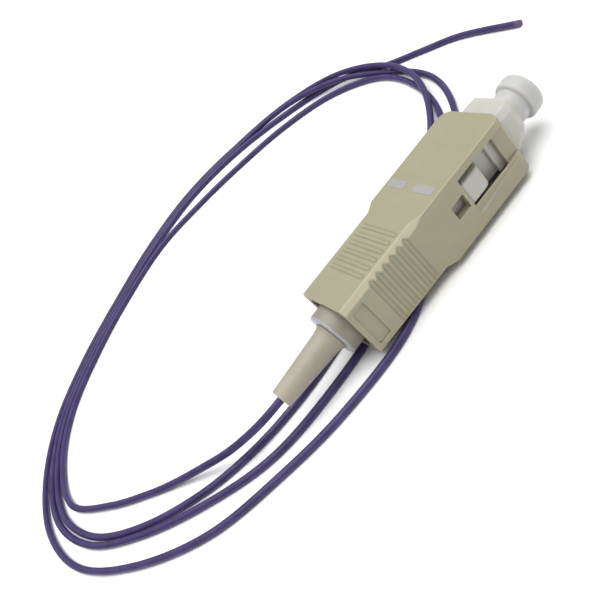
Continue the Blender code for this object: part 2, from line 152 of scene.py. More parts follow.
EXIT = [
    (-12.9, 0.75, 4.28),
    (-15.8, 2.85, 3.25),
    (-18.5, 5.35, 2.22),
    (-21.5, 8.3, 1.42),
    (-25.0, 11.65, 0.72),
]
FREE_END = [(41.4, 38.2), (44.0, 32.6), (46.5, 26.8), (48.3, 15.9)]
HEIGHT_AT_TURN_AND_STATION = {
    (1, 13): 1.41,
    (1, 14): 1.41,
    (2, 13): 1.1,
    (2, 14): 1.41,
    (2, 15): 1.41,
    (2, 16): 1.6,
    (2, 17): 1.05,
}


def station_point(station, turn):
    """Where one turn passes a station, in millimetres on the floor."""
    x, y, inside = LOOP[station]
    before = Vector(LOOP[station - 1][:2])
    after = Vector(LOOP[(station + 1) % len(LOOP)][:2])
    heading = (after - before).normalized()
    return Vector((x, y)) + Vector((heading.y, -heading.x)) * inside[turn]


fibre_start = place(BOOT_TIP + FIBRE_IN_BOOT, 0, AXIS_Z)
stations = [fibre_start, place(BOOT_TIP, 0, AXIS_Z)]
stations += [place(*point) for point in EXIT]
for turn in range(TURNS):
    for station, (_, _, inside) in enumerate(LOOP):
        if inside[turn] is not None:
            spot = station_point(station, turn)
            height = HEIGHT_AT_TURN_AND_STATION.get((turn, station), LIE)
            stations.append(place(spot.x, spot.y, height))
stations += [place(x, y, LIE) for x, y in FREE_END]
print("route points:", len(stations))

# %% [markdown]
# Straight lines between the stations would show corners. A Catmull-Rom curve passes through every
# point and turns smoothly at each. Its steps in time follow the root of each distance, which keeps
# it from swinging out where two stations are close.

# %% Smooth the route
STEPS_PER_SPAN = 14


def smooth_line(points, steps):
    """Points on a Catmull-Rom curve through the given ones, with both ends kept."""
    ends = [points[0] * 2 - points[1], *points, points[-1] * 2 - points[-2]]
    times = [0.0]
    for a, b in zip(ends, ends[1:]):
        times.append(times[-1] + math.sqrt((b - a).length))
    line = []
    for k in range(1, len(ends) - 2):
        t0, t1, t2, t3 = times[k - 1 : k + 3]
        p0, p1, p2, p3 = ends[k - 1 : k + 3]
        for step in range(steps):
            t = t1 + (t2 - t1) * step / steps
            a1 = p0.lerp(p1, (t - t0) / (t1 - t0))
            a2 = p1.lerp(p2, (t - t1) / (t2 - t1))
            a3 = p2.lerp(p3, (t - t2) / (t3 - t2))
            b1 = a1.lerp(a2, (t - t0) / (t2 - t0))
            b2 = a2.lerp(a3, (t - t1) / (t3 - t1))
            line.append(b1.lerp(b2, (t - t1) / (t2 - t1)))
    line.append(points[-1].copy())
    return line


route = smooth_line(stations, STEPS_PER_SPAN)
for point in route:
    point.z = max(point.z, LIE * MM)
fibre_length = sum((b - a).length for a, b in zip(route, route[1:]))
print("smooth points:", len(route), "length:", round(fibre_length, 4), "m")

# %% [markdown]
# ## Small tools for modelling
#
# The pieces are modelled with the same operators as by hand. Four things come up again and again:
# starting a piece with nothing else selected, choosing vertices, edges or faces by where they are,
# moving or rounding what was chosen, and cutting or joining with a second solid. Short helpers keep
# the later cells readable.

# %% Helpers to start, choose and close
MERGE = 0.02 * MM


def take_up(item):
    """Makes a piece the only selected one and the active one."""
    bpy.ops.object.select_all(action="DESELECT")
    item.select_set(True)
    bpy.context.view_layer.objects.active = item


def start_piece(name):
    """An empty mesh at the origin, open in edit mode, with nothing else selected."""
    item = bpy.data.objects.new(name, bpy.data.meshes.new(name))
    bpy.context.scene.collection.objects.link(item)
    take_up(item)
    bpy.ops.object.mode_set(mode="EDIT")
    bpy.ops.mesh.select_mode(type="VERT")
    return item


def pick(item, kind, test):
    """Selects the vertices, edges or faces of a piece in edit mode that pass the test."""
    bpy.ops.mesh.select_mode(type=kind)
    bpy.ops.mesh.select_all(action="DESELECT")
    mesh = bmesh.from_edit_mesh(item.data)
    chosen = {"VERT": mesh.verts, "EDGE": mesh.edges, "FACE": mesh.faces}[kind]
    for element in chosen:
        if test(element):
            element.select_set(True)
    mesh.select_flush_mode()
    bmesh.update_edit_mesh(item.data)


def close_piece(item):
    """Merges doubled points, turns every face outwards and leaves edit mode."""
    bpy.ops.mesh.select_all(action="SELECT")
    bpy.ops.mesh.remove_doubles(threshold=MERGE)
    bpy.ops.mesh.normals_make_consistent(inside=False)
    bpy.ops.object.mode_set(mode="OBJECT")


print("helpers to start, choose and close are ready")

# %% Helpers to change a piece


def shift(item, test, by):
    """Moves the chosen vertices of a piece in edit mode, by millimetres."""
    pick(item, "VERT", test)
    bpy.ops.transform.translate(value=Vector(by) * MM)


def round_edges(item, test, size, segments=4):
    """Rounds the chosen edges of a piece, with the size in millimetres."""
    bpy.ops.object.mode_set(mode="EDIT")
    pick(item, "EDGE", test)
    bpy.ops.mesh.bevel(offset=size * MM, segments=segments, affect="EDGES")
    bpy.ops.object.mode_set(mode="OBJECT")


def paint(item, index, test):
    """Gives the chosen faces of a piece in edit mode another of its materials."""
    pick(item, "FACE", test)
    item.active_material_index = index
    bpy.ops.object.material_slot_assign()


def combine(item, tool, operation):
    """Cuts or joins with another solid, applies the result and removes the tool."""
    take_up(item)
    step = item.modifiers.new(operation.lower(), "BOOLEAN")
    step.operation = operation
    step.solver = "EXACT"
    step.object = tool
    bpy.ops.object.modifier_apply(modifier=step.name)
    bpy.data.objects.remove(tool, do_unlink=True)


print("helpers to change a piece are ready")

# %% [markdown]
# Moulded parts have no knife edges: every outward corner has a small radius that catches the light.
# A bevel by angle would also run along inward corners, where it leaves dark lines. So after the
# cuts, flat faces are joined again, only the sharp outward edges get a bevel weight, and the Bevel
# modifier rounds those. Its strips take a second material, a little paler, as a painted highlight
# along the edges.

# %% Helper for soft edges
TINY = 0.004 * MM
NEARLY_FLAT = math.radians(1)
SHARP = math.radians(32)


def nowhere(edge):
    """A test that no edge passes."""
    return False


def soften(item, width, segments=3, leave=nowhere, wide=nowhere, wide_by=1.0):
    """Rounds the sharp outward edges, some wider and some left as they are."""
    take_up(item)
    bpy.ops.object.mode_set(mode="EDIT")
    bpy.ops.mesh.select_all(action="SELECT")
    bpy.ops.mesh.remove_doubles(threshold=TINY)
    bpy.ops.mesh.dissolve_limited(angle_limit=NEARLY_FLAT)

    def outward(edge):
        return edge.is_convex and edge.calc_face_angle(0) > SHARP and not leave(edge)

    pick(item, "EDGE", lambda edge: outward(edge) and not wide(edge))
    bpy.ops.transform.edge_bevelweight(value=1 / wide_by)
    pick(item, "EDGE", lambda edge: outward(edge) and wide(edge))
    bpy.ops.transform.edge_bevelweight(value=1.0)
    bpy.ops.object.mode_set(mode="OBJECT")
    bevel = item.modifiers.new("soft edges", "BEVEL")
    bevel.width = width * wide_by * MM
    bevel.segments = segments
    bevel.limit_method = "WEIGHT"
    bevel.use_clamp_overlap = False
    bevel.loop_slide = False
    # The strips take the second material, a paler painted highlight.
    bevel.material = 1
    bevel.miter_outer = "MITER_ARC"
    bpy.ops.object.modifier_apply(modifier=bevel.name)


print("soft edges ready")

# %% [markdown]
# A finished piece is shaded smooth up to an angle, and weighted normals keep its large faces flat
# beside their rounded edges. Then it is tied to its moving body, and the CAD nodes that it stands
# for are hidden.

# %% Helpers for finishing


def give(item, *materials):
    """Adds materials to a piece. Its faces use the first, and soft edges the second."""
    for material in materials:
        item.data.materials.append(material)


def dress(item, body, stands_for=(), smooth=40):
    """Smooths a finished piece, ties it to its body and hides the CAD nodes that it stands for."""
    take_up(item)
    bpy.ops.object.shade_smooth_by_angle(angle=math.radians(smooth))
    flat = item.modifiers.new("flat faces stay flat", "WEIGHTED_NORMAL")
    flat.keep_sharp = True
    bpy.ops.object.modifier_apply(modifier=flat.name)
    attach(item, body)
    if stands_for:
        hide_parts(*stands_for)
    print(item.name, len(item.data.polygons), "faces")


print("finishing ready")

# %% [markdown]
# Two shapes recur. A block is a cube at its size and place. A lofted bar is a row of upright
# outlines, each a plane with its corners cut, bridged one to the next and closed at both ends.
# Extruding one outline would also give a bar, but bridging lets the outline change on the way.

# %% Blocks and lofted bars
UPRIGHT = (0, math.radians(90), 0)


def block(name, x_range, y_range, z_range):
    """A solid block, with x counted from the housing's rear end, all in millimetres."""
    low = place(x_range[0], y_range[0], z_range[0])
    high = place(x_range[1], y_range[1], z_range[1])
    bpy.ops.mesh.primitive_cube_add(size=1.0, location=(low + high) / 2)
    item = bpy.context.object
    item.name = name
    item.scale = high - low
    bpy.ops.object.transform_apply(location=True, rotation=True, scale=True)
    return item


def span(side, inner, outer):
    """The range of y between two distances from the middle, on one side."""
    return sorted((side * inner, side * outer))


def near_x(x):
    """A test for vertices at one place along the connector."""
    return lambda vertex: abs(vertex.co.x - place(x, 0, 0).x) < CLOSE


def outline(item, x, half_width, half_height, cut, low_cut=None):
    """Adds an upright outline with cut corners. The lower two can be cut by another size."""
    centre = place(x, 0, AXIS_Z)
    bpy.ops.mesh.primitive_plane_add(size=MM, location=centre, rotation=UPRIGHT)
    bpy.ops.transform.resize(value=(1, 2 * half_width, 2 * half_height), center_override=centre)
    here = near_x(x)
    for below, size in ((False, cut), (True, cut if low_cut is None else low_cut)):
        pick(item, "VERT", lambda vertex: here(vertex) and (vertex.co.z < centre.z) == below)
        bpy.ops.mesh.bevel(offset=size * MM, segments=1, affect="VERTICES")
    pick(item, "FACE", lambda face: all(here(vertex) for vertex in face.verts))
    bpy.ops.mesh.delete(type="ONLY_FACE")


def lofted(name, outlines):
    """A closed bar through outlines, each x, half width, half height and corner cuts."""
    item = start_piece(name)
    for values in outlines:
        outline(item, *values)
    for rear, front in zip(outlines, outlines[1:]):
        at_rear, at_front = near_x(rear[0]), near_x(front[0])
        pick(item, "VERT", lambda vertex: at_rear(vertex) or at_front(vertex))
        bpy.ops.mesh.bridge_edge_loops()
    for x in (outlines[0][0], outlines[-1][0]):
        pick(item, "VERT", near_x(x))
        bpy.ops.mesh.edge_face_add()
    close_piece(item)
    return item


print("blocks and bars ready")

# %% [markdown]
# Round pieces are turned: a circle at the first place is extruded along the axis and widened or
# narrowed at every step of the profile. If the profile comes back to its start, the piece has a
# bore. Otherwise both ends are filled.

# %% Turned pieces
ROUND_SIDES = 64


def turned(name, profile):
    """A solid of revolution through (x, radius) steps."""
    item = start_piece(name)
    first_x, first_radius = x, radius = profile[0]
    first_centre = place(first_x, 0, AXIS_Z)
    bpy.ops.mesh.primitive_circle_add(
        vertices=ROUND_SIDES,
        radius=radius * MM,
        location=first_centre,
        rotation=UPRIGHT,
        fill_type="NOTHING",
    )
    for next_x, next_radius in profile[1:]:
        step = ((next_x - x) * MM, 0, 0)
        bpy.ops.mesh.extrude_region_move(TRANSFORM_OT_translate={"value": step})
        widen = next_radius / radius
        centre = place(next_x, 0, AXIS_Z)
        bpy.ops.transform.resize(value=(1, widen, widen), center_override=centre)
        x, radius = next_x, next_radius

    def on_first_circle(vertex):
        off_axis = (vertex.co - first_centre).length
        return near_x(first_x)(vertex) and abs(off_axis - first_radius * MM) < CLOSE

    if profile[0] != profile[-1]:
        bpy.ops.mesh.edge_face_add()
        pick(item, "VERT", on_first_circle)
        bpy.ops.mesh.edge_face_add()
    close_piece(item)
    return item


print("turning ready")

# %% [markdown]
# ## Finishes
#
# Moulded plastic is never one flat colour. Its colour drifts slowly over the surface, it has a fine
# grain from the mould, and its gloss varies a little. All of this is procedural and reads Object
# coordinates, so it stays fixed to each piece. The scales are high because the part is tiny: a
# noise scale of 1000 makes features about a millimetre across.

# %% Noise and what it drives
NOISE_MIDDLE = (0.3, 0.7)


def noise(tree, scale, detail):
    """A noise texture on Object coordinates."""
    coordinates = tree.nodes.new("ShaderNodeTexCoord")
    texture = tree.nodes.new("ShaderNodeTexNoise")
    texture.inputs["Scale"].default_value = scale
    texture.inputs["Detail"].default_value = detail
    tree.links.new(coordinates.outputs["Object"], texture.inputs["Vector"])
    return texture


def ramp(tree, source, low, high):
    """A colour ramp from one colour to another over the middle of a noise."""
    node = tree.nodes.new("ShaderNodeValToRGB")
    for element, position, colour in zip(node.color_ramp.elements, NOISE_MIDDLE, (low, high)):
        element.position = position
        element.color = (*colour, 1.0)
    tree.links.new(source.outputs["Fac"], node.inputs["Fac"])
    return node


def spread(tree, source, low, high):
    """A noise remapped to a range of numbers."""
    node = tree.nodes.new("ShaderNodeMapRange")
    node.inputs["From Min"].default_value, node.inputs["From Max"].default_value = NOISE_MIDDLE
    node.inputs["To Min"].default_value = low
    node.inputs["To Max"].default_value = high
    tree.links.new(source.outputs["Fac"], node.inputs["Value"])
    return node


print("noise ready")

# %% Moulded plastic
GRAIN_HEIGHT = 0.02 * MM
COLOUR_DETAIL, FINE_DETAIL = 4.0, 3.0
GLOSS_FINER_BY = 3


def plastic(name, low, high, gloss, grain=0.25, grain_scale=9000, drift=260, **sockets):
    """Moulded plastic: drifting colour, varying gloss and a fine grain."""
    material = bpy.data.materials.new(name)
    material.use_nodes = True
    tree = material.node_tree
    shader = tree.nodes["Principled BSDF"]
    colour = ramp(tree, noise(tree, drift, COLOUR_DETAIL), low, high)
    tree.links.new(colour.outputs["Color"], shader.inputs["Base Color"])
    dull = spread(tree, noise(tree, drift * GLOSS_FINER_BY, FINE_DETAIL), *gloss)
    tree.links.new(dull.outputs["Result"], shader.inputs["Roughness"])
    bump = tree.nodes.new("ShaderNodeBump")
    bump.inputs["Strength"].default_value = grain
    bump.inputs["Distance"].default_value = GRAIN_HEIGHT
    fine = noise(tree, grain_scale, FINE_DETAIL)
    tree.links.new(fine.outputs["Fac"], bump.inputs["Height"])
    tree.links.new(bump.outputs["Normal"], shader.inputs["Normal"])
    for socket, value in sockets.items():
        shader.inputs[socket.replace("_", " ")].default_value = value
    return material


print("moulded plastic ready")

# %% [markdown]
# The housing is a greyish beige, and the boot is a little warmer. The white frame and the frosted
# cap let some light in, so they also scatter it under the surface, evenly in all three colours.
# Without that they would look like chalk. Most colours have a paler partner, a painted highlight
# for edges that catch the light.

# %% Colours of the connector
beige = plastic("housing_beige", (0.288, 0.275, 0.182), (0.310, 0.295, 0.197), (0.42, 0.52))
# A paler beige, painted highlight for the housing's edges and chamfers.
beige_painted_highlight = plastic(
    "housing_painted_highlight_beige", (0.362, 0.337, 0.228), (0.388, 0.362, 0.246), (0.38, 0.46), grain=0.1
)
white = plastic(
    "frame_white",
    (0.44, 0.437, 0.395),
    (0.49, 0.486, 0.44),
    (0.36, 0.46),
    grain=0.15,
    Subsurface_Weight=0.7,
    Subsurface_Radius=(1, 1, 1),
    Subsurface_Scale=1.3 * MM,
)
# A paler white, painted highlight for the frame's soft edges.
white_painted_highlight = plastic(
    "frame_painted_highlight_white", (0.46, 0.457, 0.415), (0.50, 0.497, 0.455), (0.30, 0.38), grain=0.05
)
# The collar's colour is darkened with painted shade from the housing's rear edge.
collar_painted_shade = plastic(
    "collar_off_white_with_painted_shade", (0.232, 0.216, 0.17), (0.26, 0.244, 0.195), (0.38, 0.48), grain=0.2
)
# A paler bluish white, painted highlight for the collar's edges and rear face.
collar_painted_highlight = plastic(
    "collar_painted_rim_highlight", (0.31, 0.325, 0.335), (0.345, 0.36, 0.37), (0.30, 0.38), grain=0.05
)
boot_cream = plastic(
    "boot_cream",
    (0.315, 0.286, 0.226),
    (0.345, 0.315, 0.252),
    (0.48, 0.58),
    grain=0.35,
    grain_scale=6000,
)
# A paler cream, painted highlight for the boot's soft edges.
boot_painted_highlight = plastic(
    "boot_painted_rim_highlight", (0.365, 0.34, 0.28), (0.40, 0.375, 0.315), (0.42, 0.5), grain=0.1
)
frosted = plastic(
    "cap_frosted",
    (0.58, 0.575, 0.56),
    (0.63, 0.625, 0.61),
    (0.34, 0.46),
    grain=0.25,
    Subsurface_Weight=0.7,
    Subsurface_Radius=(1, 1, 1),
    Subsurface_Scale=1.6 * MM,
    Transmission_Weight=0.25,
    IOR=1.49,
)
mark_white = plastic(
    "mark_white", (0.295, 0.291, 0.285), (0.33, 0.326, 0.32), (0.45, 0.55), grain=0.1
)
print("materials of the connector:", len(bpy.data.materials))

# %% [markdown]
# The buffer is a dark satin violet, and its last bit at the cut is darker and browner. The hidden
# ferrule is polished ceramic and its flange is turned steel, the only metal here.

# %% Colours of the fibre and the ferrule
violet = plastic(
    "fibre_violet",
    (0.038, 0.026, 0.096),
    (0.057, 0.040, 0.140),
    (0.32, 0.42),
    grain=0.2,
    drift=500,
    Specular_IOR_Level=0.3,
)
violet_cut = plastic(
    "fibre_cut_face", (0.060, 0.040, 0.085), (0.110, 0.080, 0.140), (0.5, 0.6), grain=0.5
)
zirconia = plastic(
    "ferrule_zirconia", (0.80, 0.79, 0.76), (0.84, 0.83, 0.80), (0.10, 0.16), grain=0.05
)
steel = plastic(
    "flange_steel", (0.55, 0.55, 0.54), (0.64, 0.64, 0.62), (0.25, 0.38), grain=0.3, Metallic=1.0
)
print("all materials:", len(bpy.data.materials))

# %% [markdown]
# ## Outer housing
#
# The beige sleeve is one moulding. Its rear half is the grip, lower and narrower than the front,
# with broad chamfers along its corners, which die out in a short slope. A lofted bar gives this
# outside, and the upright front corners are rounded in edit mode before anything is cut, because
# later their edges would be in many pieces.

# %% Housing block
HOUSING_LENGTH = 25.9
HALF_WIDTH, HALF_HEIGHT = 4.5, 3.7
GRIP_HALF_WIDTH, GRIP_HALF_HEIGHT = 4.24, 3.65
GRIP_CHAMFER = 0.59
GRIP_END, SLOPE_END = 11.3, 12.7
NO_CUT = 0.008
FRONT_CORNER = 1.4
UNDERSIDE = AXIS_Z - HALF_HEIGHT
TOP = AXIS_Z + HALF_HEIGHT

housing = lofted(
    "outer_sleeve",
    [
        (0.0, GRIP_HALF_WIDTH, GRIP_HALF_HEIGHT, GRIP_CHAMFER),
        (GRIP_END, GRIP_HALF_WIDTH, GRIP_HALF_HEIGHT, GRIP_CHAMFER),
        (SLOPE_END, HALF_WIDTH, HALF_HEIGHT, NO_CUT),
        (HOUSING_LENGTH, HALF_WIDTH, HALF_HEIGHT, NO_CUT),
    ],
)


def upright_at_front(edge):
    """True for the edges of the front face that don't run across it."""
    low, high = edge.verts
    at_front = near_x(HOUSING_LENGTH)
    return at_front(low) and at_front(high) and abs(low.co.y - high.co.y) < CLOSE


round_edges(housing, upright_at_front, FRONT_CORNER, segments=8)
print("housing block:", len(housing.data.polygons), "faces")

# %% [markdown]
# The key stands on the face underneath. The cavity is an eight-sided hole right through, widened
# at the rear for the round collar. All three are joined or cut as whole solids, which keeps the
# walls at their true thickness.

# %% Key, cavity and rear bore
KEY_X, KEY_HALF_WIDTH, KEY_SUNK = (17.5, 25.5), 1.1, 0.4
CAVITY = (3.4, 3.0, 0.7, 1.1)
REAR_BORE_RADIUS, REAR_BORE_END = 3.15, 3.1
BEYOND_REAR, BEYOND_FRONT = -1.0, 27.0

key = block("key", KEY_X, (-KEY_HALF_WIDTH, KEY_HALF_WIDTH), (0.0, UNDERSIDE + KEY_SUNK))
combine(housing, key, "UNION")
cavity = lofted("cavity", [(BEYOND_REAR, *CAVITY), (BEYOND_FRONT, *CAVITY)])
combine(housing, cavity, "DIFFERENCE")
rear_bore = turned(
    "rear_bore", [(BEYOND_REAR, REAR_BORE_RADIUS), (REAR_BORE_END, REAR_BORE_RADIUS)]
)
combine(housing, rear_bore, "DIFFERENCE")
print("after the cavity:", len(housing.data.polygons), "faces")

# %% [markdown]
# Each side wall has a long latch window with a recessed bridge in front of it, a small window
# behind, and a thin prong below with a gap behind it. A block that reaches past both walls cuts
# the windows of both sides at once.

# %% Side windows
WINDOW_X, REAR_WINDOW_X = (17.8, 23.8), (15.45, 17.4)
WINDOW_Z = (UNDERSIDE + 2.5, UNDERSIDE + 6.45)
REAR_WINDOW_Z = (UNDERSIDE + 3.1, UNDERSIDE + 4.95)
OUTSIDE = 5.5
BRIDGE_FACE = 3.95
PRONG_GAP_Y, PRONG_GAP_Z = (3.2, 4.07), (2.7, WINDOW_Z[0] + 0.5)

combine(housing, block("windows", WINDOW_X, (-OUTSIDE, OUTSIDE), WINDOW_Z), "DIFFERENCE")
rear_windows = block("rear_windows", REAR_WINDOW_X, (-OUTSIDE, OUTSIDE), REAR_WINDOW_Z)
combine(housing, rear_windows, "DIFFERENCE")
print("after the windows:", len(housing.data.polygons), "faces")

# %% [markdown]
# The prong's outside has a shallow pocket that narrows and dies out to the front. Its cutter is a
# block whose bottom slants outwards. The front half of that bottom is drawn up towards the top, and
# the front half of its inner face comes out.

# %% Bridge, prong gap and prong pocket
POCKET_X, POCKET_Y, POCKET_Z = (17.8, 25.2), (4.28, 4.7), (2.55, WINDOW_Z[0] + 0.2)
POCKET_SLANT, POCKET_COMES_OUT = 0.5, 0.12
POCKET_END_Z, POCKET_NARROWS_TO = 3.4, 0.2


def pocket_cutter(side):
    """The solid that cuts one prong's pocket."""
    cutter = block("prong_pocket", POCKET_X, span(side, *POCKET_Y), POCKET_Z)
    outer = lambda vertex: abs(vertex.co.y) > 4.5 * MM
    low = lambda vertex: vertex.co.z < 3.0 * MM
    front = lambda vertex: vertex.co.x > place(21, 0, 0).x
    bpy.ops.object.mode_set(mode="EDIT")
    shift(cutter, lambda vertex: outer(vertex) and low(vertex), (0, 0, -POCKET_SLANT))
    pick(cutter, "VERT", lambda vertex: front(vertex) and low(vertex))
    end = place(0, 0, POCKET_END_Z)
    bpy.ops.transform.resize(value=(1, 1, POCKET_NARROWS_TO), center_override=end)
    come_out = (0, side * POCKET_COMES_OUT, 0)
    shift(cutter, lambda vertex: front(vertex) and not outer(vertex), come_out)
    bpy.ops.object.mode_set(mode="OBJECT")
    return cutter


for side in (-1, 1):
    in_front = (WINDOW_X[0], BEYOND_FRONT)
    bridge_recess = block("bridge_recess", in_front, span(side, BRIDGE_FACE, OUTSIDE), WINDOW_Z)
    combine(housing, bridge_recess, "DIFFERENCE")
    prong_gap = block("prong_gap", WINDOW_X, span(side, *PRONG_GAP_Y), PRONG_GAP_Z)
    combine(housing, prong_gap, "DIFFERENCE")
    combine(housing, pocket_cutter(side), "DIFFERENCE")
print("after the prongs:", len(housing.data.polygons), "faces")

# %% [markdown]
# The grip grooves are soft flutes. A thin round bar, laid across the face and sunk a little, cuts
# each one, and the six are spaced evenly. Those on the sides run out into the corner chamfers.

# %% Grooves
FLUTE_RADIUS, FLUTE_SIDES, FLUTE_END = 0.34, 24, 0.32
FLUTE_DEPTH, FLUTE_LENGTH = 0.24, 6.9
FACE_FLUTE_DEPTH, FACE_FLUTE_LENGTH = 0.16, 6.3
GROOVE_COUNT, FIRST_GROOVE, GROOVE_PITCH = 6, 4.3, 1.08


def flute(x, y, z, length, turn):
    """A thin round-ended bar that cuts one groove."""
    bpy.ops.mesh.primitive_cylinder_add(
        vertices=FLUTE_SIDES,
        radius=FLUTE_RADIUS * MM,
        depth=length * MM,
        location=place(x, y, z),
        rotation=turn,
    )
    bar = bpy.context.object
    bpy.ops.object.transform_apply(location=True, rotation=True, scale=True)
    bpy.ops.object.mode_set(mode="EDIT")
    pick(bar, "FACE", lambda face: len(face.verts) > 4)
    bpy.ops.mesh.region_to_loop()
    bpy.ops.mesh.bevel(offset=FLUTE_END * MM, segments=4, affect="EDGES")
    bpy.ops.object.mode_set(mode="OBJECT")
    return bar


standing, lying = (0, 0, 0), (math.radians(90), 0, 0)
side_y = GRIP_HALF_WIDTH + FLUTE_RADIUS - FLUTE_DEPTH
face_z = GRIP_HALF_HEIGHT + FLUTE_RADIUS - FACE_FLUTE_DEPTH
for k in range(GROOVE_COUNT):
    x = FIRST_GROOVE + GROOVE_PITCH * k
    for side in (-1, 1):
        side_flute = flute(x, side * side_y, AXIS_Z, FLUTE_LENGTH, standing)
        combine(housing, side_flute, "DIFFERENCE")
        face_flute = flute(x, 0, AXIS_Z + side * face_z, FACE_FLUTE_LENGTH, lying)
        combine(housing, face_flute, "DIFFERENCE")
print("after the grooves:", len(housing.data.polygons), "faces")

# %% [markdown]
# Behind the grooves, one side has a small recessed panel with rounded corners. It is left bare. Its
# cutter is a thin block with its four short edges rounded.

# %% Side panel
PANEL_X, PANEL_HALF_HEIGHT, PANEL_DEPTH = (0.6, 2.25), 2.55, 0.21
PANEL_CORNER = 0.2

panel_y = (-5.0, -(GRIP_HALF_WIDTH - PANEL_DEPTH))
panel = block("panel", PANEL_X, panel_y, (AXIS_Z - PANEL_HALF_HEIGHT, AXIS_Z + PANEL_HALF_HEIGHT))
round_edges(
    panel, lambda edge: abs(edge.verts[0].co.y - edge.verts[1].co.y) > 0.5 * MM, PANEL_CORNER
)
combine(housing, panel, "DIFFERENCE")
print("after the panel:", len(housing.data.polygons), "faces")

# %% [markdown]
# Now all outward edges are rounded at once, those of the grooves wider, so the ridges are pillowy.
# The fine edges of the prongs' pockets stay crisp, because rounded strips would cross there. Tests
# by place tell these edges apart.

# %% Soften the housing
HOUSING_EDGE, GROOVE_WIDER_BY = 0.09, 2.2
GROOVES_FROM, GROOVES_TO = 3.6, 10.4
FACE_GROOVE_HALF, SIDE_GROOVE_HALF = 3.6, 3.3
POCKET_LOWEST = 1.9


def measured(point):
    """A point as x from the rear end, distance from the middle and height, in millimetres."""
    return point.x / MM - REAR_X, abs(point.y) / MM, point.z / MM


def in_pocket(edge):
    """True for the fine edges of a prong's pocket."""
    return all(
        x > POCKET_X[0] - 0.1 and y > POCKET_Y[0] - 0.04 and POCKET_LOWEST < z < WINDOW_Z[0] - 0.05
        for x, y, z in (measured(vertex.co) for vertex in edge.verts)
    )


def in_grooves(edge):
    """True for the edges of the grip's grooves."""
    return all(
        GROOVES_FROM < x < GROOVES_TO
        and (y < FACE_GROOVE_HALF or abs(z - AXIS_Z) < SIDE_GROOVE_HALF)
        for x, y, z in (measured(vertex.co) for vertex in edge.verts)
    )


give(housing, beige, beige_painted_highlight)
soften(housing, HOUSING_EDGE, leave=in_pocket, wide=in_grooves, wide_by=GROOVE_WIDER_BY)
print("after the soft edges:", len(housing.data.polygons), "faces")

# %% [markdown]
# The strips along the grooves and the panel then get the body's colour again, because only the
# long outer edges and the corner chamfers carry the paler painted highlight.

# %% Dress the housing


def in_grip_face(face):
    """True for faces of the grooves and the panel, away from the grip's long edges."""
    x, y, z = measured(face.calc_center_median())
    off_axis = abs(z - AXIS_Z)
    on_face, on_side = y < FACE_GROOVE_HALF - 0.05, off_axis < SIDE_GROOVE_HALF - 0.3
    by_panel = PANEL_X[0] - 0.2 < x < PANEL_X[1] + 0.2 and off_axis < PANEL_HALF_HEIGHT + 0.25
    return GROOVES_FROM < x < GROOVES_TO and (on_face or on_side) or by_panel


def on_chamfer(face):
    """True for the slanting faces along the corners."""
    return min(abs(face.normal.y), abs(face.normal.z)) > 0.6


bpy.ops.object.mode_set(mode="EDIT")
paint(housing, 0, in_grip_face)
# The chamfers take the paler beige as a painted highlight.
paint(housing, 1, on_chamfer)
bpy.ops.object.mode_set(mode="OBJECT")
dress(housing, "housing", ["outer_housing"])

# %% [markdown]
# ## Index marks
#
# Two pale dashes are printed across the broad face. A painted mask in the housing's material could
# show them, but thin pads with rounded corners are simpler to place and have clean edges. They
# stand a few hundredths of a millimetre proud.

# %% Index marks
MARK_X = (14.95, 16.0)
MARK_Y = {"index_mark_far": (1.05, 3.95), "index_mark_near": (-3.65, -0.4)}
MARK_SUNK, MARK_PROUD, MARK_CORNER = 0.05, 0.02, 0.12

for name, y_range in MARK_Y.items():
    mark = block(name, MARK_X, y_range, (TOP - MARK_SUNK, TOP + MARK_PROUD))
    round_edges(
        mark, lambda edge: abs(edge.verts[0].co.z - edge.verts[1].co.z) > 0.03 * MM, MARK_CORNER
    )
    give(mark, mark_white)
    dress(mark, "housing")

# %% [markdown]
# ## Plug frame
#
# The white inner body is an eight-sided bar with a bored nose that narrows a little at its tip.
# Behind the shoulder both its sides are cut back, and a wedge stands behind each recess for the
# adapter's hooks. Each wedge is a block with its front outer edge bevelled off and its outline
# rounded, which is how such a small moulded wedge looks.

# %% Plug body and latches
PLUG_REAR, NOSE_FRONT = 2.1, 28.7
PLUG_OUTLINE = (3.3, 2.9, 0.7, 1.1)
NOSE_OUTLINE, NOSE_TAPER = (2.7, 2.9, 0.35, 0.7), 0.9
RECESS_X, RECESS_Y = (19.7, 22.9), (2.8, 4.3)
RECESS_Z = (AXIS_Z - 4, AXIS_Z + 4)
LATCH_X, LATCH_Y = (17.9, 21.1), (2.6, 4.1)
LATCH_Z = (WINDOW_Z[0] + 0.1, WINDOW_Z[0] + 2.95)
LATCH_SLOPE, LATCH_EDGE = 1.0, 0.28

plug = lofted(
    "plug_body",
    [
        (PLUG_REAR, *PLUG_OUTLINE),
        (NOSE_FRONT - NOSE_TAPER, *PLUG_OUTLINE),
        (NOSE_FRONT, *NOSE_OUTLINE),
    ],
)


def latch_wedge(side):
    """The wedge behind one latch recess."""
    latch = block("latch", LATCH_X, span(side, *LATCH_Y), LATCH_Z)
    at_crest = near_x(LATCH_X[1])
    crest = lambda edge: all(at_crest(v) and v.co.y * side > 4 * MM for v in edge.verts)
    round_edges(latch, crest, LATCH_SLOPE, segments=3)
    bpy.ops.object.mode_set(mode="EDIT")
    pick(latch, "FACE", lambda face: face.normal.y * side > 0.3)
    bpy.ops.mesh.region_to_loop()
    bpy.ops.mesh.bevel(offset=LATCH_EDGE * MM, segments=4, affect="EDGES", clamp_overlap=True)
    bpy.ops.object.mode_set(mode="OBJECT")
    return latch


print("plug body:", len(plug.data.polygons), "faces")

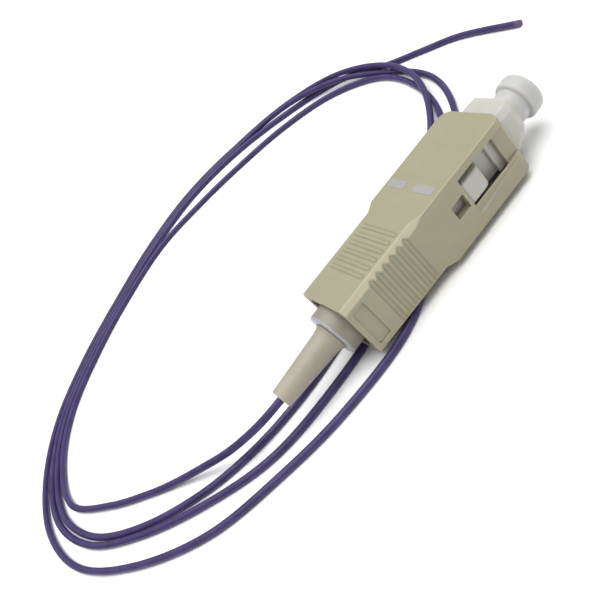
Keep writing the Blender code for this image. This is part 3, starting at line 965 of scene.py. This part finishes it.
# %% [markdown]
# A dark slot runs along the prong, below each wedge, and its front end reaches through the
# shoulder. It is cut here, because the gap behind the prong would otherwise show a plain wall.

# %% Recesses, latches and prong slots
SLOT_X, SLOT_Y, SLOT_Z = (17.6, 22.85), (1.35, 3.5), (2.0, 2.95)
SHOULDER_SLOT_X = (22.8, 24.2)

for side in (-1, 1):
    recess = block("latch_recess", RECESS_X, span(side, *RECESS_Y), RECESS_Z)
    combine(plug, recess, "DIFFERENCE")
    combine(plug, latch_wedge(side), "UNION")
    combine(plug, block("prong_slot", SLOT_X, span(side, *SLOT_Y), SLOT_Z), "DIFFERENCE")
    shoulder_slot = block("shoulder_end", SHOULDER_SLOT_X, span(side, *SLOT_Y), SLOT_Z)
    combine(plug, shoulder_slot, "DIFFERENCE")
print("after the latches:", len(plug.data.polygons), "faces")

# %% [markdown]
# Three bores run along the axis: the nose's, where the cap stands, the narrow guide for the
# ferrule, and the spring's at the rear. The nose's two lower corners are cut back by slanting
# planes, each made with the top of a large cube.

# %% Bores and nose corners
BORES = {
    "nose_bore": (23.5, 30.0, 2.35),
    "spring_bore": (1.0, 19.8, 2.0),
    "guide": (18.0, 24.0, 1.29),
}
CORNER_CUBE = 12
CORNER_X, CORNER_Y, CORNER_Z = 28.3, 3.3, 4.46
FACING_X, FACING_Y, FACING_Z = 0.40, 0.77, -0.50
PLUG_EDGE = 0.1

for name, (rear, front, radius) in BORES.items():
    combine(plug, turned(name, [(rear, radius), (front, radius)]), "DIFFERENCE")
for side in (-1, 1):
    facing = Vector((FACING_X, side * FACING_Y, FACING_Z)).normalized()
    middle = place(CORNER_X, side * CORNER_Y, CORNER_Z) + facing * CORNER_CUBE / 2 * MM
    turn = facing.to_track_quat("Z", "Y").to_euler()
    bpy.ops.mesh.primitive_cube_add(size=CORNER_CUBE * MM, location=middle, rotation=turn)
    bpy.ops.object.transform_apply(location=True, rotation=True, scale=True)
    combine(plug, bpy.context.object, "DIFFERENCE")
# The frame's soft edges take the paler white as a painted highlight.
give(plug, white, white_painted_highlight)
soften(plug, PLUG_EDGE)
dress(plug, "plug", ["plug_frame"])

# %% [markdown]
# ## Collar, boot and dust cap
#
# These three are turned pieces. Each profile runs along the outside and back through the bore. A
# cylinder with a bore cut out would also do, but a profile shows every step of the piece at once.
# The lists give the steps of the outside, each a place and a radius. The collar's rear face catches
# the light, so it takes the paler material as a painted highlight.

# %% Collar and boot
BORE = 0.75
COLLAR_OUTSIDE = [(-1.7, 2.9), (1.8, 2.9), (1.8, 1.9), (6.8, 1.9)]
BOOT_OUTSIDE = [(BOOT_TIP, 1.2), (-2.7, 1.6), (-2.1, 1.7), (-1.72, 1.95)]
COLLAR_ROUNDING, BOOT_ROUNDING = 0.25, 0.14


def sleeve(name, outside):
    """A turned piece with the fibre's bore right through."""
    rear, front = (outside[0][0], BORE), (outside[-1][0], BORE)
    return turned(name, [rear, *outside, front, rear])


collar = sleeve("collar", COLLAR_OUTSIDE)
# The collar's colour carries painted shade from the housing, and its paler rim material a painted
# highlight.
give(collar, collar_painted_shade, collar_painted_highlight)
soften(collar, COLLAR_ROUNDING, segments=4)
bpy.ops.object.mode_set(mode="EDIT")
# The rear face takes the paler material as a painted highlight.
paint(collar, 1, lambda face: face.normal.x < -0.4)
bpy.ops.object.mode_set(mode="OBJECT")
dress(collar, "plug", ["rear_collar"])

boot = sleeve("boot", BOOT_OUTSIDE)
# The boot's soft edges take the paler cream as a painted highlight.
give(boot, boot_cream, boot_painted_highlight)
soften(boot, BOOT_ROUNDING, segments=4)
dress(boot, "plug", ["strain_relief_boot"])

# %% [markdown]
# The cap is a frosted sleeve with a round knob at its closed front. Its curves are quarter circles
# in the profile, which a bevel afterwards couldn't place as exactly.

# %% Dust cap
CAP_BORE, CAP_BORE_END = 1.29, 30.9
CAP_REAR, CAP_RADIUS, CAP_RIM = 23.9, 2.1, 0.1
KNOB_FOOT = [(30.6, CAP_RADIUS), (30.7, 2.18)]
KNOB_REAR = (31.1, 2.2, 0.4)
KNOB_FRONT = (32.1, 1.95, 0.65)


def rounding(x, radius, size, first, last, steps=6):
    """Points of a quarter circle in a profile, from its centre, size and angles in degrees."""
    turns = [math.radians(first + (last - first) * k / steps) for k in range(steps + 1)]
    return [(x + size * math.cos(turn), radius + size * math.sin(turn)) for turn in turns]


cap = turned(
    "frosted_cap",
    [
        (CAP_BORE_END, CAP_BORE),
        (CAP_REAR, CAP_BORE),
        (CAP_REAR, CAP_RADIUS - CAP_RIM),
        (CAP_REAR + CAP_RIM, CAP_RADIUS),
        *KNOB_FOOT,
        *rounding(*KNOB_REAR, 180, 90)[1:],
        *rounding(*KNOB_FRONT, 90, 0),
    ],
)
give(cap, frosted)
dress(cap, "cap", ["dust_cap"], smooth=60)

# %% [markdown]
# ## Ferrule and flange
#
# Both are hidden under the cap. Their CAD shapes are right, so they only get finished materials.

# %% Ferrule and flange
for node, material in (("ferrule", zirconia), ("ferrule_flange", steel)):
    item = frame["nodes"][node]
    item.data.materials.clear()
    give(item, material)
    print(node, "is", material.name)

# %% [markdown]
# ## The fibre
#
# A curve with a round bevel follows the smooth route. A tube could also be swept with a modifier,
# but a bevelled curve keeps its section round in every bend. It is made a mesh, so that its faces
# at the cut can take a colour of their own.

# %% Fibre tube
curve = bpy.data.curves.new("violet_fibre", "CURVE")
curve.dimensions = "3D"
curve.bevel_depth = FIBRE_RADIUS * MM
curve.bevel_resolution = 6
curve.use_fill_caps = True
spline = curve.splines.new("POLY")
spline.points.add(len(route) - 1)
for point, spot in zip(spline.points, route):
    point.co = (*spot, 1.0)
fibre = bpy.data.objects.new("violet_fibre", curve)
bpy.context.scene.collection.objects.link(fibre)
take_up(fibre)
bpy.ops.object.convert(target="MESH")
fibre = bpy.context.object
print("fibre:", len(fibre.data.polygons), "faces")

# %% [markdown]
# The free end is a bare, flat cut, which the tube's cap already gives. The cap and the last ring of
# faces, under a millimetre long, take the cut's colour. Then the fibre is tied to the plug's body.

# %% Cut end
CUT_STRETCH = 0.7

tip = route[-1]
heading = (route[-1] - route[-2]).normalized()


def at_cut(face):
    """True for the flat end and the faces close to it."""
    offset = face.calc_center_median() - tip
    return offset.dot(heading) > -CUT_STRETCH * MM and offset.length < MM


give(fibre, violet, violet_cut)
bpy.ops.object.mode_set(mode="EDIT")
paint(fibre, 1, at_cut)
bpy.ops.object.mode_set(mode="OBJECT")
dress(fibre, "plug", ["buffered_fibre"])

# %% [markdown]
# ## Floor and light
#
# The photograph has a white ground with faint contact shadows. A large pale plane carries them.

# %% Floor
FLOOR_SIZE = 6.0
FLOOR_WHITE = (0.96, 0.96, 0.96, 1)

bpy.ops.mesh.primitive_plane_add(size=FLOOR_SIZE, location=(0, 0, 0))
floor = bpy.context.object
floor.name = "floor"
floor_paint = bpy.data.materials.new("floor_paint")
floor_paint.use_nodes = True
floor_shader = floor_paint.node_tree.nodes["Principled BSDF"]
floor_shader.inputs["Base Color"].default_value = FLOOR_WHITE
give(floor, floor_paint)
print("floor:", FLOOR_SIZE, "m wide")

# %% [markdown]
# A white world lights more from overhead than from the horizon, so the sides of the connector are
# darker than its top, as in the photograph. Where the world itself is seen, it is plain white. One
# broad soft light from almost straight above gives the short soft shadows.

# %% World and light
HORIZON, OVERHEAD = 0.08, 1.05
LIGHT_STRENGTH, LIGHT_SPREAD = 2.4, 60
LIGHT_FROM = Vector((0.02, -0.06, 1.0))

world = bpy.data.worlds.new("studio")
bpy.context.scene.world = world
world.use_nodes = True
sky = world.node_tree
background = sky.nodes["Background"]
background.inputs["Color"].default_value = (1, 1, 1, 1)
direction = sky.nodes.new("ShaderNodeTexCoord")
split = sky.nodes.new("ShaderNodeSeparateXYZ")
climb = sky.nodes.new("ShaderNodeMapRange")
climb.inputs["To Min"].default_value = HORIZON
climb.inputs["To Max"].default_value = OVERHEAD
backdrop = sky.nodes.new("ShaderNodeLightPath")
brighter = sky.nodes.new("ShaderNodeMath")
brighter.operation = "MAXIMUM"
sky.links.new(direction.outputs["Generated"], split.inputs["Vector"])
sky.links.new(split.outputs["Z"], climb.inputs["Value"])
sky.links.new(climb.outputs["Result"], brighter.inputs[0])
sky.links.new(backdrop.outputs["Is Camera Ray"], brighter.inputs[1])
sky.links.new(brighter.outputs["Value"], background.inputs["Strength"])

light_data = bpy.data.lights.new("softbox", "SUN")
light_data.energy = LIGHT_STRENGTH
light_data.angle = math.radians(LIGHT_SPREAD)
light = bpy.data.objects.new("softbox", light_data)
light.rotation_euler = LIGHT_FROM.to_track_quat("Z", "Y").to_euler()
bpy.context.scene.collection.objects.link(light)
bpy.context.scene.view_settings.view_transform = "Standard"
print("lights:", len(bpy.data.lights))
